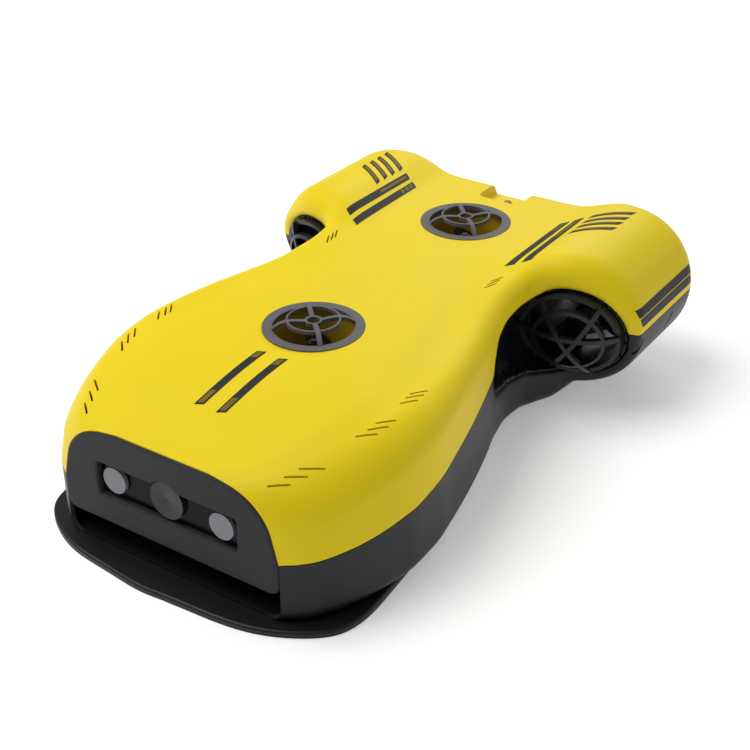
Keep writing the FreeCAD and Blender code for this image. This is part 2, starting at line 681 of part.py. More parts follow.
def outlet_guard():
    """Flat outlet guard: rim, hub disc and six vanes, base plane at zero."""
    radius = val("duct_bore")
    vanes = [ring(radius, radius - 2.5, 5), Part.makeCylinder(9, 5)]
    for turn in range(6):
        vane = Part.makeBox(radius - 9, 2, 5, Vector(8, -1, 0))
        vane.rotate(Vector(0, 0, 0), Vector(0, 0, 1), 60 * turn)
        vanes.append(vane)
    return fuse_all(vanes)


# ---------------------------------------------------------------- fans
STRUTS = BLADES = 3


def propeller(tip, hub, length, hole_depth):
    """Hub with a shaft hole and pitched blades with curved edges, axis +Z from zero."""
    core = Part.makeCylinder(hub, length)
    nose = [edge for edge in core.Edges if edge.BoundBox.ZMin > length - 0.01]
    core = core.makeFillet(hub * 0.35, nose)
    thickness = val("blade_thickness")
    parts = [core]
    for turn in range(BLADES):
        chord = tip * 0.75
        outline = [Vector(hub - 1, -chord * 0.22, 0), Vector(tip * 0.75, -chord * 0.5, 0),
                   Vector(tip * 0.99, -chord * 0.1, 0), Vector(tip * 0.9, chord * 0.38, 0),
                   Vector(tip * 0.5, chord * 0.34, 0), Vector(hub - 1, chord * 0.22, 0)]
        front = Part.BSplineCurve()
        front.interpolate(outline)
        root = Part.makeLine(outline[-1], outline[0])
        blade = Part.Face(Part.Wire([front.toShape(), root])).extrude(Vector(0, 0, thickness))
        blade.translate(Vector(0, 0, -thickness / 2))
        blade.rotate(Vector(0, 0, 0), Vector(1, 0, 0), val("blade_pitch"))
        blade.translate(Vector(0, 0, length / 2))
        blade.rotate(Vector(0, 0, 0), Vector(0, 0, 1), 360 / BLADES * turn)
        parts.append(blade)
    swept = Part.makeCylinder(tip, length * 3, Vector(0, 0, -length))
    return fuse_all(parts).common(swept).cut(
        Part.makeCylinder(val("shaft_radius"), hole_depth + 10, Vector(0, 0, -10)))


def motor(radius, length, reach):
    """Motor can with its shaft and struts out to the duct wall; shaft towards +Z, top at zero."""
    can = Part.makeCylinder(radius, length, Vector(0, 0, -length))
    rim = [edge for edge in can.Edges if edge.BoundBox.ZMax < -length + 0.01 and edge.BoundBox.XLength > 1]
    can = can.makeFillet(val("can_edge_radius"), rim)
    width, depth, drop = val("strut_width"), val("strut_depth"), val("strut_drop")
    parts = [can]
    for turn in range(STRUTS):
        strut = Part.makeBox(reach - radius + 2, width, depth, Vector(radius - 2, -width / 2, -depth - drop))
        strut.rotate(Vector(0, 0, 0), Vector(0, 0, 1), 360 / STRUTS * turn)
        parts.append(strut)
    whole = fuse_all(parts).common(Part.makeCylinder(reach, 200, Vector(0, 0, -100)))
    bearing = val("shaft_radius") + val("shaft_clearance")
    seat = val("shaft_seat") + 0.5
    return whole.cut(Part.makeCylinder(bearing, seat, Vector(0, 0, -seat)))


def hexagon_nut(across, thickness, hole):
    corners = [Vector(across / math.sqrt(3) * math.cos(math.radians(60 * i)),
                      across / math.sqrt(3) * math.sin(math.radians(60 * i)), 0) for i in range(7)]
    nut = Part.Face(Part.makePolygon(corners)).extrude(Vector(0, 0, thickness))
    return nut.cut(Part.makeCylinder(hole, thickness * 2))


for word, along in fan_places.items():
    name = f"{word}_lift"
    deck = deck_at(along) + 0.3
    seat = deck - val("fan_ring_thickness")
    tube = post(fan_duct_outer, 0, along, val("skid_thickness"), seat)
    flange = post(val("fan_ring_radius"), 0, along, seat - 2, seat)
    duct = tube.fuse(flange).cut(post(val("fan_duct_bore"), 0, along, 0, 200)).removeSplitter()
    feature(f"{name}_duct", duct)
    top_guard = fan_guard(val("fan_ring_radius"), val("fan_dome_rise"))
    feature(f"{name}_top_guard", top_guard, upright(0, along, deck))
    low_guard = fan_guard(fan_duct_outer, 0).mirror(Vector(0, 0, 0), Vector(0, 0, 1))
    low_guard_height = val("skid_thickness") - val("fan_ring_thickness")
    feature(f"{name}_bottom_guard", low_guard, upright(0, along, low_guard_height))
    motor_top = seat - val("lift_prop_drop")
    lift_motor = motor(val("lift_motor_radius"), val("lift_motor_length"), val("fan_duct_bore"))
    feature(f"{name}_motor", lift_motor, upright(0, along, motor_top))
    shaft_foot = upright(0, along, motor_top - val("shaft_seat"))
    shaft = primitive("Part::Cylinder", f"{name}_shaft_rod", shaft_foot,
                      Radius="shaft_radius", Height="shaft_seat + lift_hub_length + shaft_tip")
    keep(shaft, f"{name}_shaft")
    blades = propeller(val("lift_prop_radius"), val("lift_hub_radius"), val("lift_hub_length"),
                       val("lift_hub_length") + 1)
    feature(f"{name}_propeller", blades, upright(0, along, motor_top + 1))
    nut = hexagon_nut(val("nut_across"), val("nut_thickness"), val("shaft_radius"))
    feature(f"{name}_propeller_nut", nut, upright(0, along, motor_top + 1 + val("lift_hub_length")))

for word, side in sides.items():
    name = f"{word}_thrust"
    across, height = side * val("duct_x"), val("duct_height")
    tube = bore(duct_outer, across, height, val("duct_front_y"), val("duct_tail_y"))
    tube = tube.cut(bore(val("duct_bore"), across, height, 0, 260))
    roof = slab(200, (-300, val("hood_height")), (val("hood_y"), 300))
    inside = outer_form.fuse(bore(duct_outer, across, height, val("tail_y") - 20, val("duct_tail_y")))
    feature(f"{name}_duct", tube.common(inside).cut(roof))
    guard = intake_guard() if side > 0 else mirrored(intake_guard())
    feature(f"{name}_intake_guard", guard)
    feature(f"{name}_outlet_guard", outlet_guard(), along_y(across, val("outlet_guard_y"), height))
    facing_nose = Placement(Vector(across, val("thrust_prop_y"), height), Rotation(Vector(1, 0, 0), 90))
    thrust_motor = motor(val("thrust_motor_radius"), val("thrust_motor_length"), val("duct_bore"))
    feature(f"{name}_motor", thrust_motor, facing_nose)
    shaft_foot = Vector(across, val("thrust_prop_y") + val("shaft_seat"), height)
    shaft = primitive("Part::Cylinder", f"{name}_shaft_rod", Placement(shaft_foot, facing_nose.Rotation),
                      Radius="shaft_radius", Height="shaft_seat + thrust_hub_length - 3")
    keep(shaft, f"{name}_shaft")
    blades = propeller(val("thrust_prop_radius"), val("thrust_hub_radius"), val("thrust_hub_length"),
                       val("thrust_hub_length") - 4)
    feature(f"{name}_propeller", blades,
            Placement(Vector(across, val("thrust_prop_y") - 1, height), Rotation(Vector(1, 0, 0), 90)))


# ---------------------------------------------------------------- tail socket, notch screw, ballast
turned_body("tail_socket", [
    ("socket_cable_hole", "0"), ("socket_radius", "0"), ("socket_radius", "socket_length"),
    ("socket_bore", "socket_length"), ("socket_bore", "socket_length - socket_bore_depth"),
    ("socket_cable_hole", "socket_length - socket_bore_depth")],
    along_y(0, val("tail_y") - val("socket_length"), val("socket_height")))
head_top = notch_floor + val("notch_screw_head")
screw_head = post(val("screw_head_radius"), 0, notch_screw_y, notch_floor, head_top)
screw_shank = post(val("screw_radius"), 0, notch_screw_y, notch_floor - val("wall"), notch_floor)
feature("notch_screw", screw_head.fuse(screw_shank).removeSplitter())
length, width, height = val("ballast_length"), val("ballast_width"), val("ballast_height")
ballast = [Part.makeBox(width, length, height, Vector(
    side * val("ballast_x") - width / 2, val("ballast_y") - length / 2, val("hull_bottom") + val("wall")))
    for side in sides.values()]
feature("ballast_weights", Part.makeCompound(ballast))


# ---------------------------------------------------------------- write the parts
doc.recompute()
broken = [thing.Label for thing in doc.Objects if {"Invalid", "Error"} & set(thing.State)]
broken += [thing.Label for thing in subparts if thing.Shape.isNull() or not thing.Shape.isValid()]
if broken:
    raise SystemExit("failed: " + ", ".join(broken))

os.makedirs("parts", exist_ok=True)
for thing in subparts:
    thing.Shape.exportStep(os.path.join("parts", thing.Label + ".step"))
print(len(subparts), "parts written")
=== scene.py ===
"""Looks of the underwater camera drone: smooth hull skins, trim, materials, studio."""
import json
import math

import bmesh
import bpy
import numpy as np
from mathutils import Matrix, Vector


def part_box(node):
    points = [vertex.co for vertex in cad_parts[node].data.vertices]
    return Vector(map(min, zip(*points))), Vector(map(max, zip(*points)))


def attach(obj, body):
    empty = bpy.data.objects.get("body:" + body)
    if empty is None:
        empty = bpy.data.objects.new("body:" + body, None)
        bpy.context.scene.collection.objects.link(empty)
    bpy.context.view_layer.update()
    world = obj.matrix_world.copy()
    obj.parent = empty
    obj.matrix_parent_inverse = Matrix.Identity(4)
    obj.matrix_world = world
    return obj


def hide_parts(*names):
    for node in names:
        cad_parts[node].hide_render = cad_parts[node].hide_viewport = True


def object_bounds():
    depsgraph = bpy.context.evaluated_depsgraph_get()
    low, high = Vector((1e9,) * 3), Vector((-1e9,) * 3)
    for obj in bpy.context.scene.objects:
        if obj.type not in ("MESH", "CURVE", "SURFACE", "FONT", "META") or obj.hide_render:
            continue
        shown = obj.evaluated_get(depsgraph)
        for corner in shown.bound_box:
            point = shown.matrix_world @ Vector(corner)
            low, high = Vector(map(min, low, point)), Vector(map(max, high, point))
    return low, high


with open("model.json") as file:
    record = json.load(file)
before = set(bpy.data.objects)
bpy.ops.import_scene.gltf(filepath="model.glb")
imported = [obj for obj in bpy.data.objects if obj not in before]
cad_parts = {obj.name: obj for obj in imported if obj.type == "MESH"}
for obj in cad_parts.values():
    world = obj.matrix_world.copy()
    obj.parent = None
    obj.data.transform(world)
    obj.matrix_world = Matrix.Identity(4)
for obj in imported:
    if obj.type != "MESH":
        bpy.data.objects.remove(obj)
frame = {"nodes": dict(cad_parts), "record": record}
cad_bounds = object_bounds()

MM = 0.001

# ------------------------------------------------------------------ measures read off the frame
X, Y, Z = 0, 1, 2


def middle(node, axis):
    """Middle of a node's box along an axis, in millimetres."""
    low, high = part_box(node)
    return (low[axis] + high[axis]) / 2 / MM


FRONT_FAN_Y = middle("front_lift_top_guard", Y)
REAR_FAN_Y = middle("rear_lift_top_guard", Y)
DUCT_X = middle("right_thrust_intake_guard", X)
DUCT_Z = middle("right_thrust_intake_guard", Z)
BEZEL_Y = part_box("front_bezel")[0][Y] / MM
KEEL_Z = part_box("lower_shell")[0][Z] / MM
HALF_WIDTH = cad_bounds[1][X] / MM
TAIL_Y = 203.0
NOTCH_SCREW_Y = middle("notch_screw", Y)
NOTCH_FRONT_Y = NOTCH_SCREW_Y - 16
NOTCH_FLOOR_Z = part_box("notch_screw")[1][Z] / MM - 1.6
WINDOW_HALF, WINDOW_Z, WINDOW_TALL, BEZEL_LOW_Z = 51.0, 52.0, 22.0, 22.0
CAMERA_Z = middle("camera_lens", Z)
CAMERA_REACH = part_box("camera_lens")[1][X] / MM + 0.5

# ------------------------------------------------------------------ smooth lines, millimetres
BODY_OUTLINE = [
    (-215, 56), (-207, 69), (-199, 78), (-192, 88), (-184, 96), (-168, 105), (-152, 111), (-134, 115),
    (-118, 117), (-95, 116), (-69, 111.5), (-35, 104), (0, 94.5), (28, 86), (52, 82), (68, 83),
    (84, 89), (98, 95), (130, 98), (240, 98),
]
DECK_LINE = [
    (-228, 76), (-199, 86.5), (-183, 89), (-168, 91.5), (-156, 94), (-136, 97.4), (-116, 99.9),
    (-96, 101.1), (-56, 102.1), (0, 102.6), (127.2, 104.8), (240, 105.2),
]
SCOOP_LINE = [
    (8, 8), (14, 15), (18.4, 19.5), (22, 24.5), (28, 28.6), (47, 33.8), (65, 35.6), (77, 35.4), (86, 35.0),
    (240, 35.0),
]
POD_X, POD_Z, POD_RADIUS, POD_TAIL, POD_TAIL_ROUND = 97, 66, 50.5, 213, 26
SEAM_NOSE_Z, SEAM_POD_Z = 43.5, 66
SCOOP_FRONT_Y = 13


def smooth_line(points):
    """A reader of a smooth line through (along, value) pairs without overshoot."""
    along = np.array([point[0] for point in points], float)
    value = np.array([point[1] for point in points], float)
    step, rise = np.diff(along), np.diff(value)
    slope = rise / step
    tangent = np.zeros(len(points))
    tangent[1:-1] = np.where(slope[:-1] * slope[1:] > 0,
                             2 * slope[:-1] * slope[1:] / (slope[:-1] + slope[1:] + 1e-12), 0)
    tangent[0], tangent[-1] = slope[0], slope[-1]

    def read(place):
        index = np.clip(np.searchsorted(along, place) - 1, 0, len(points) - 2)
        t = np.clip((place - along[index]) / step[index], 0, 1)
        h = step[index]
        return ((1 + 2 * t) * (1 - t) ** 2 * value[index] + t * (1 - t) ** 2 * h * tangent[index]
                + t * t * (3 - 2 * t) * value[index + 1] + t * t * (t - 1) * h * tangent[index + 1])
    return read


half_at, deck_line_at, scoop_at = (smooth_line(line) for line in (BODY_OUTLINE, DECK_LINE, SCOOP_LINE))


def ease(value, low, high):
    t = np.clip((value - low) / (high - low), 0, 1)
    return t * t * (3 - 2 * t)


def soft_min(a, b, reach):
    h = np.clip(0.5 + 0.5 * (b - a) / reach, 0, 1)
    return b * (1 - h) + a * h - reach * h * (1 - h)


def soft_max(a, b, reach):
    return -soft_min(-a, -b, reach)


def deck_at(x, y):
    """Deck height: a low raised panel over the nose, a saddle between the pods."""
    side = np.abs(x)
    nose = 1 - ease(y, -20, 70)
    panel_edge = half_at(y) - 34
    panel = -2.6 * ease(side, panel_edge - 16, panel_edge + 8) * nose
    saddle = 0.0016 * np.clip(side - 34, 0, 76) ** 2 * ease(y, 10, 80)
    return deck_line_at(y) + panel + saddle


def rounded_corner(across, up, radius):
    return np.hypot(np.maximum(across + radius, 0), np.maximum(up + radius, 0)) \
        + np.minimum(np.maximum(across, up) + radius, 0) - radius


def seam_at(y):
    return SEAM_NOSE_Z + (SEAM_POD_Z - SEAM_NOSE_Z) * np.clip((y - BEZEL_Y) / (41.5 - BEZEL_Y), 0, 1)


def body_field(x, y, z):
    draft = 0.26 - 0.24 * ease(y, -190, -60)
    side = np.abs(x) - half_at(y) + draft * np.maximum(z - seam_at(y), 0)
    upper = rounded_corner(side, z - deck_at(x, y), 24 - 8 * ease(y, -150, -20) - 4 * ease(y, 0, 50))
    lower = rounded_corner(side, KEEL_Z - z, 9)
    return soft_max(soft_max(upper, lower, 0.5), y - TAIL_Y, 12)


def pod_field(x, y, z):
    outward = np.hypot(np.abs(x) - POD_X, z - POD_Z) - POD_RADIUS
    tail = rounded_corner(outward, y - POD_TAIL, POD_TAIL_ROUND)
    sweep, rake = 0.277, 0.271
    lip = (83.8 + sweep * (np.abs(x) - 100) + rake * (102 - z) - y) / math.sqrt(1 + sweep ** 2 + rake ** 2)
    return soft_max(tail, lip, 3 + 19 * ease(z, 66, 104))


def scoop_field(x, y, z):
    outward = np.hypot(np.abs(x) - DUCT_X, z - DUCT_Z) - scoop_at(y)
    return soft_max(outward, SCOOP_FRONT_Y - y, 6)


def whole_field(x, y, z):
    return soft_min(body_field(x, y, z), pod_field(x, y, z), 9)


def notch_field(x, y, z):
    return np.maximum(rounded_corner(np.abs(x) - 16.2, NOTCH_FRONT_Y - y, 5), NOTCH_FLOOR_Z - z)


def hull_field(x, y, z):
    whole = soft_max(whole_field(x, y, z), -scoop_field(x, y, z), 3)
    return soft_max(whole, -notch_field(x, y, z), 1.5)


# ------------------------------------------------------------------ meshing a field
def mesh_of_field(field, low, high, step):
    """Quads over the zero surface of a field, every vertex settled on the surface."""
    axes = [np.arange(a, b + step, step) for a, b in zip(low, high)]
    grid = np.meshgrid(*axes, indexing="ij")
    value = field(*grid)
    shape = np.array(value.shape) - 1
    total = int(np.prod(shape))
    sums, counts = np.zeros((total, 3)), np.zeros(total)
    quads = []
    for axis in range(3):
        others = [other for other in range(3) if other != axis]
        start = [slice(None)] * 3
        end = [slice(None)] * 3
        start[axis], end[axis] = slice(0, -1), slice(1, None)
        before, after = value[tuple(start)], value[tuple(end)]
        spots = np.argwhere((before < 0) != (after < 0))
        keep = np.ones(len(spots), bool)
        for other in others:
            keep &= (spots[:, other] > 0) & (spots[:, other] < shape[other])
        spots = spots[keep]
        a = before[tuple(spots.T)]
        b = after[tuple(spots.T)]
        points = np.array(low) + spots * step
        points[:, axis] += step * a / (a - b)
        cells = []
        for shift_one, shift_two in ((0, 0), (1, 0), (1, 1), (0, 1)):
            cell = spots.copy()
            cell[:, others[0]] -= shift_one
            cell[:, others[1]] -= shift_two
            flat = np.ravel_multi_index(cell.T, shape)
            np.add.at(sums, flat, points)
            np.add.at(counts, flat, 1)
            cells.append(flat)
        quad = np.stack(cells, axis=1)
        turned = (a < 0) if axis != 1 else (a >= 0)
        quad[~turned] = quad[~turned][:, ::-1]
        quads.append(quad)
    quads = np.concatenate(quads)
    used, quads = np.unique(quads, return_inverse=True)
    quads = quads.reshape(-1, 4)
    points = sums[used] / counts[used][:, None]
    for _ in range(4):
        points = settle(field, points)
    return points, quads


def settle(field, points):
    """Moves points along the field's slope to its zero surface."""
    here = field(*points.T)
    reach = 0.05
    slope = np.stack([
        (field(*(points + reach * unit).T) - field(*(points - reach * unit).T)) / (2 * reach)
        for unit in np.eye(3)], axis=1)
    size = np.maximum((slope ** 2).sum(axis=1), 0.2)
    move = np.clip(here / size, -1.5, 1.5)
    return points - slope * move[:, None]


# ------------------------------------------------------------------ materials
def surface(slot, colour, roughness, *, metallic=0.0, grain=0.04, grain_scale=900.0, bump=0.03,
            specular=0.3, wear=0.25):
    """A moulded or metal finish: fine grain, faint uneven tone, and a roughness that wanders."""
    material = bpy.data.materials.new(slot)
    material.use_nodes = True
    nodes, links = material.node_tree.nodes, material.node_tree.links
    shader = nodes["Principled BSDF"]
    shader.inputs["Metallic"].default_value = metallic
    shader.inputs["Specular IOR Level"].default_value = specular
    place = nodes.new("ShaderNodeTexCoord")

    def noise(scale, detail):
        texture = nodes.new("ShaderNodeTexNoise")
        texture.inputs["Scale"].default_value = scale
        texture.inputs["Detail"].default_value = detail
        links.new(place.outputs["Object"], texture.inputs["Vector"])
        return texture

    def spread(centre, part):
        reach = nodes.new("ShaderNodeMapRange")
        reach.inputs["To Min"].default_value = centre * (1 - part)
        reach.inputs["To Max"].default_value = centre * (1 + part)
        return reach

    broad, fine = noise(14.0, 3.0), noise(grain_scale, 4.0)
    tone = spread(1.0, grain)
    shade = nodes.new("ShaderNodeMix")
    shade.data_type = "RGBA"
    shade.blend_type = "MULTIPLY"
    shade.inputs["Factor"].default_value = 1.0
    shade.inputs["A"].default_value = (*colour, 1)
    gloss = spread(roughness, wear)
    relief = nodes.new("ShaderNodeBump")
    relief.inputs["Strength"].default_value = bump
    relief.inputs["Distance"].default_value = 0.0003
    links.new(broad.outputs["Fac"], tone.inputs["Value"])
    links.new(tone.outputs["Result"], shade.inputs["B"])
    links.new(shade.outputs["Result"], shader.inputs["Base Color"])
    links.new(broad.outputs["Fac"], gloss.inputs["Value"])
    links.new(gloss.outputs["Result"], shader.inputs["Roughness"])
    links.new(fine.outputs["Fac"], relief.inputs["Height"])
    links.new(relief.outputs["Normal"], shader.inputs["Normal"])
    return material


LOOKS = {
    "hull_yellow": dict(colour=(0.86, 0.655, 0.010), roughness=0.45, bump=0.06, specular=0.14),
    "hull_black": dict(colour=(0.009, 0.009, 0.010), roughness=0.42, bump=0.10, specular=0.3),
    "bezel_grey": dict(colour=(0.034, 0.034, 0.036), roughness=0.55, bump=0.14, specular=0.15),
    "window_dark": dict(colour=(0.004, 0.004, 0.0045), roughness=0.20, bump=0.01, specular=0.08),
    "lamp_glass": dict(colour=(0.21, 0.21, 0.235), roughness=0.32, grain=0.10, grain_scale=2500.0, bump=0.10),
    "lens_glass": dict(colour=(0.016, 0.016, 0.018), roughness=0.14, bump=0.01),
    "seal_rubber": dict(colour=(0.012, 0.012, 0.012), roughness=0.62, bump=0.10),
    "inner_black": dict(colour=(0.020, 0.020, 0.020), roughness=0.55, bump=0.10),
    "circuit_board": dict(colour=(0.010, 0.085, 0.035), roughness=0.40, bump=0.05),
    "bright_metal": dict(colour=(0.55, 0.52, 0.47), roughness=0.28, metallic=1.0, grain_scale=1800.0,
                         bump=0.04),
    "screw_bronze": dict(colour=(0.26, 0.105, 0.018), roughness=0.38, metallic=0.4, bump=0.04),
    "nut_dark": dict(colour=(0.05, 0.048, 0.044), roughness=0.38, metallic=0.8, bump=0.04),
    "tube_aluminium": dict(colour=(0.60, 0.61, 0.62), roughness=0.32, metallic=1.0, bump=0.05),
    "cell_wrap": dict(colour=(0.03, 0.13, 0.32), roughness=0.38, bump=0.03),
    "stripe_dark": dict(colour=(0.030, 0.030, 0.034), roughness=0.45, grain=0.12, bump=0.05, specular=0.12),
    "stripe_gold": dict(colour=(0.20, 0.135, 0.012), roughness=0.45, grain=0.15, bump=0.05, specular=0.12),
    "guard_grey": dict(colour=(0.125, 0.118, 0.122), roughness=0.50, bump=0.12, specular=0.2),
    "intake_guard_black": dict(colour=(0.014, 0.0145, 0.016), roughness=0.26, bump=0.05),
    "duct_black": dict(colour=(0.004, 0.004, 0.0045), roughness=0.22, bump=0.03, specular=0.25),
    # Lift-duct walls: the hull's yellow painted darker and browner, painted shade standing in for the shade
    # deep inside the ducts.
    "duct_yellow_painted_shade": dict(colour=(0.50, 0.33, 0.010), roughness=0.40, bump=0.06),
    "propeller_black": dict(colour=(0.010, 0.010, 0.011), roughness=0.30, bump=0.03, specular=0.25),
    "socket_black": dict(colour=(0.022, 0.022, 0.022), roughness=0.45, bump=0.10),
}
FINISH = {slot: surface(slot, **look) for slot, look in LOOKS.items()}


def dress(piece, slot):
    piece.data.materials.clear()
    piece.data.materials.append(FINISH[slot])


# ------------------------------------------------------------------ pieces
def raw_mesh(name, points, faces):
    """A mesh out of points in millimetres."""
    mesh = bpy.data.meshes.new(name)
    mesh.from_pydata([tuple(point) for point in np.asarray(points) * MM], [], [tuple(face) for face in faces])
    mesh.validate()
    mesh.update()
    return mesh


def add_piece(name, mesh, slot, sharp=35):
    """A smooth-shaded piece of the hull, in one finish."""
    piece = bpy.data.objects.new(name, mesh)
    bpy.context.scene.collection.objects.link(piece)
    mesh.shade_smooth()
    mesh.set_sharp_from_angle(angle=math.radians(sharp))
    dress(piece, slot)
    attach(piece, "hull")
    return piece


def cut_by_plane(mesh, foot, normal):
    """Keeps the side of a plane that its normal points away from."""
    form = bmesh.new()
    form.from_mesh(mesh)
    everything = form.verts[:] + form.edges[:] + form.faces[:]
    bmesh.ops.bisect_plane(form, geom=everything, plane_co=foot, plane_no=normal, clear_outer=True)
    form.to_mesh(mesh)
    form.free()


def shift_heights(mesh, amount):
    """Moves every vertex up by the height of the seam above it, times the amount."""
    places = np.zeros(len(mesh.vertices) * 3, np.float32)
    mesh.vertices.foreach_get("co", places)
    places = places.reshape(-1, 3)
    places[:, 2] += amount * seam_at(places[:, 1] / MM) * MM
    mesh.vertices.foreach_set("co", places.ravel())
    mesh.update()


def baked(piece):
    """The mesh of a piece with its modifiers applied, the modifiers gone."""
    bpy.context.view_layer.update()
    solved = bpy.data.meshes.new_from_object(piece.evaluated_get(bpy.context.evaluated_depsgraph_get()))
    piece.modifiers.clear()
    piece.data = solved
    return piece


def prism(rim, low, high):
    """Points and faces of an upright cutter over a rim of (x, y) points."""
    count = len(rim)
    points = [(x, y, low) for x, y in rim] + [(x, y, high) for x, y in rim]
    faces = [tuple(reversed(range(count))), tuple(range(count, 2 * count))]
    faces += [(i, (i + 1) % count, (i + 1) % count + count, i + count) for i in range(count)]
    return points, faces


def capsule(start, end, radius, low, high):
    """A slot-shaped cutter between two (x, y) ends."""
    start, end = np.array(start, float), np.array(end, float)
    along = (end - start) / np.linalg.norm(end - start)
    heading = math.atan2(along[Y], along[X])
    rim = []
    for centre, turn in ((end, -math.pi / 2), (start, math.pi / 2)):
        for step in range(7):
            angle = heading + turn + math.pi * step / 6
            rim.append((centre[X] + radius * math.cos(angle), centre[Y] + radius * math.sin(angle)))
    return prism(rim, low, high)


def drum(x, y, low, high, radius, sides=64):
    """A round cutter."""
    rim = [(x + radius * math.cos(2 * math.pi * i / sides), y + radius * math.sin(2 * math.pi * i / sides))
           for i in range(sides)]
    return prism(rim, low, high)


def joined(parts):
    """One list of points and faces out of several."""
    points, faces = [], []
    for part_points, part_faces in parts:
        offset = len(points)
        points += list(part_points)
        faces += [tuple(index + offset for index in face) for face in part_faces]
    return points, faces


def carve(piece, parts):
    """Cuts the parts out of a piece."""
    cutter = bpy.data.objects.new("cutter", raw_mesh("cutter", *joined(parts)))
    bpy.context.scene.collection.objects.link(cutter)
    step = piece.modifiers.new("carve", "BOOLEAN")
    step.operation, step.solver, step.object = "DIFFERENCE", "EXACT", cutter
    baked(piece)
    bpy.data.objects.remove(cutter)


# ------------------------------------------------------------------ the two hull skins
FINE = 2.0
SEAM_GAP = 0.25
SKIN_WALL = 2.4
SLIT_RADIUS, SLIT_DEPTH = 0.6, 12
POD_SLOT_RADIUS, POD_SLOT_DEPTH, POD_SIDE_X = 1.1, 16, 144
WELL_RADIUS, OUTLET_RADIUS, SCREW_HOLE_RADIUS = 27.5, 30.4, 2.4
hull_points, hull_faces = mesh_of_field(
    hull_field, (-HALF_WIDTH - 4, BEZEL_Y - 6, KEEL_Z - 6), (HALF_WIDTH + 4, POD_TAIL + 5, 122), FINE)

# Vent slits of the right side of the deck, (x, y) of the outer and of the inner end.
SLITS = [
    ((74.5, -180.5), (65.8, -187.8)), ((79.3, -171.2), (70, -178.6)), ((84.0, -162), (73.5, -170)),
    ((94.0, -126.8), (86.2, -135)), ((96.0, -118.5), (88.8, -127.2)), ((96.5, -111.7), (89.6, -120.3)),
    ((96.5, -89.2), (90.6, -97.4)), ((96.5, -82.8), (90.3, -91)), ((96, -78), (90, -86.3)),
    ((62.6, 45.5), (66.5, 53.5)), ((62.3, 50.2), (66.3, 58.5)), ((62.2, 54.9), (66.3, 63.2)),
]
# Slots low in the pods' sides, (y, z) of both ends.
POD_SLOTS = [((162.7, 59), (156.5, 50)), ((114, 59.5), (110.5, 50))]


def skin(name, side_of_seam, slot, cutters, *nodes):
    """The hull on one side of its seam (1 above, -1 below), as a wall with cut-outs."""
    mesh = raw_mesh(name, hull_points, hull_faces)
    shift_heights(mesh, -1)
    cut_by_plane(mesh, (0, 0, side_of_seam * SEAM_GAP * MM), (0, 0, -side_of_seam))
    shift_heights(mesh, 1)
    cut_by_plane(mesh, (0, (BEZEL_Y + 0.8) * MM, 0), (0, -1, 0))
    piece = add_piece(name, mesh, slot)
    wall = piece.modifiers.new("wall", "SOLIDIFY")
    wall.thickness, wall.offset = SKIN_WALL * MM, -1
    baked(piece)
    carve(piece, cutters)
    piece.data.shade_smooth()
    piece.data.set_sharp_from_angle(angle=math.radians(38))
    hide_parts(*nodes)
    return piece


slit_cutters = []
for outer, inner in SLITS:
    for side in (-1, 1):
        ends = [(side * x, y) for x, y in (outer, inner)]
        height = float(deck_at(ends[0][X], np.array(ends[0][Y])))
        slit_cutters.append(capsule(*ends, SLIT_RADIUS, height - SLIT_DEPTH, height + SLIT_DEPTH))
well_cutters = [drum(0, y, 60, 130, WELL_RADIUS) for y in (FRONT_FAN_Y, REAR_FAN_Y)]
well_cutters += [drum(0, NOTCH_SCREW_Y, NOTCH_FLOOR_Z - 6, NOTCH_FLOOR_Z + 6, SCREW_HOLE_RADIUS, 24)]
skin("upper_hull_skin", 1, "hull_yellow", slit_cutters + well_cutters, "upper_shell")
floor_cutters = [drum(0, y, -10, 30, OUTLET_RADIUS) for y in (FRONT_FAN_Y, REAR_FAN_Y)]
for side in (-1, 1):
    for outer, inner in POD_SLOTS:
        points, faces = capsule(outer, inner, POD_SLOT_RADIUS, -POD_SLOT_DEPTH, POD_SLOT_DEPTH)
        points = [(side * (POD_SIDE_X + depth), along, height) for along, height, depth in points]
        floor_cutters.append((points, faces if side > 0 else [tuple(reversed(face)) for face in faces]))
skin("lower_hull_skin", -1, "hull_black", floor_cutters, "lower_shell")


# ------------------------------------------------------------------ bezel and duct liners
def field_piece(name, field, low, high, step, slot, *nodes, sharp=50):
    """A piece whose surface is where a field is zero, shown in place of the nodes."""
    points, faces = mesh_of_field(field, low, high, step)
    piece = add_piece(name, raw_mesh(name, points, faces), slot, sharp=sharp)
    if nodes:
        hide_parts(*nodes)
    return piece


BEZEL_MIDDLE, BEZEL_HALF_DEPTH, BEZEL_INSET = 4, 4.3, 1.0


def bezel_field(x, y, z):
    outline = hull_field(x, np.full_like(y, BEZEL_Y + 1.2), z) + BEZEL_INSET
    outline = soft_max(outline, BEZEL_LOW_Z - z, 8)
    block = soft_max(outline, np.abs(y - BEZEL_Y - BEZEL_MIDDLE) - BEZEL_HALF_DEPTH, 2.0)
    window = rounded_corner(np.abs(x) - WINDOW_HALF, np.abs(z - WINDOW_Z) - WINDOW_TALL / 2, 2.0)
    window = np.minimum(window, np.hypot(x, z - CAMERA_Z) - CAMERA_REACH)
    return soft_max(block, -window, 1.8)


field_piece("bezel_frame", bezel_field, (-92, BEZEL_Y - 3, 12), (92, BEZEL_Y + 12, 92), 1.0, "bezel_grey",
            "front_bezel")

LINER_DEPTH = 2.0


def liner_field(x, y, z):
    scoop = scoop_field(x, y, z)
    shell = np.maximum(scoop + 0.3, -scoop - LINER_DEPTH)
    return soft_max(soft_max(shell, whole_field(x, y, z) + 0.9, 1.0), y - POD_TAIL + 1, 1.0)


